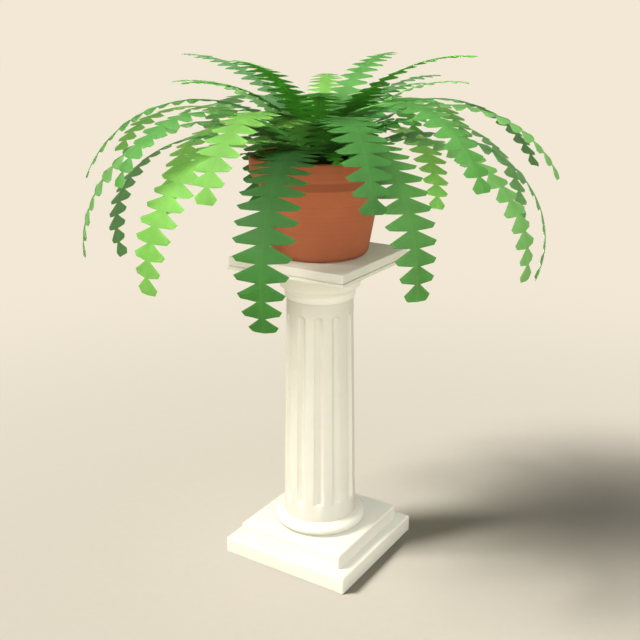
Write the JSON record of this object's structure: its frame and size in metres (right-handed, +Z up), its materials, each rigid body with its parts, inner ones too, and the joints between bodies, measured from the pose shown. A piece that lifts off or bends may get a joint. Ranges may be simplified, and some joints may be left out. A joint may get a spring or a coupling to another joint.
{
  "type": "potted boston fern on a column stand",
  "caption": "Potted Boston fern with arching fronds in a terracotta pot, standing on a square-based fluted column stand.",
  "frame": {"origin": "centre of the stand's flat underside, on the floor", "axes": "+Z up; the stand's square sides lie along X and Y"},
  "size_m": [1.0569, 1.0195, 1.2007],
  "materials": {
    "cast_stone": "matte",
    "terracotta": "matte",
    "potting_soil": "matte",
    "fern_crown": "matte",
    "leaf_bright": "satin",
    "leaf_light": "satin",
    "leaf_mid": "satin",
    "leaf_leaf": "satin",
    "leaf_olive": "satin",
    "leaf_dull": "satin",
    "leaf_dark": "satin",
    "leaf_deep": "satin"
  },
  "bodies": {
    "root": {"pedestal_base": "cast_stone", "pedestal_shaft": "cast_stone", "pedestal_capital": "cast_stone", "pot": "terracotta", "potting_soil": "potting_soil", "fern_crown": "fern_crown", "frond_low_01": "leaf_dark", "frond_low_02": "leaf_light", "frond_low_03": "leaf_bright", "frond_low_04": "leaf_leaf", "frond_low_05": "leaf_mid", "frond_low_06": "leaf_light", "frond_low_07": "leaf_dull", "frond_low_08": "leaf_dark", "frond_low_09": "leaf_olive", "frond_low_10": "leaf_mid", "frond_low_11": "leaf_leaf", "frond_low_12": "leaf_olive", "frond_mid_01": "leaf_olive", "frond_mid_02": "leaf_mid", "frond_mid_03": "leaf_mid", "frond_mid_04": "leaf_bright", "frond_mid_05": "leaf_leaf", "frond_mid_06": "leaf_mid", "frond_mid_07": "leaf_light", "frond_mid_08": "leaf_dark", "frond_mid_09": "leaf_mid", "frond_mid_10": "leaf_leaf", "frond_mid_11": "leaf_mid", "frond_mid_12": "leaf_dull", "frond_mid_13": "leaf_dull", "frond_top_01": "leaf_deep", "frond_top_02": "leaf_light", "frond_top_03": "leaf_dull", "frond_top_04": "leaf_leaf", "frond_top_05": "leaf_mid", "frond_top_06": "leaf_bright", "frond_top_07": "leaf_mid", "frond_top_08": "leaf_dull", "frond_top_09": "leaf_light", "frond_top_10": "leaf_deep", "frond_top_11": "leaf_deep", "frond_top_12": "leaf_deep", "frond_top_13": "leaf_deep", "frond_top_14": "leaf_deep", "frond_young_01": "leaf_leaf", "frond_young_02": "leaf_mid", "frond_young_03": "leaf_leaf", "frond_young_04": "leaf_dull", "frond_young_05": "leaf_leaf", "frond_young_06": "leaf_dark", "frond_young_07": "leaf_mid", "frond_young_08": "leaf_leaf", "frond_young_09": "leaf_olive", "frond_young_10": "leaf_deep", "frond_young_11": "leaf_leaf", "frond_young_12": "leaf_leaf", "frond_young_13": "leaf_deep", "frond_young_14": "leaf_leaf"}
  },
  "joints": []
}
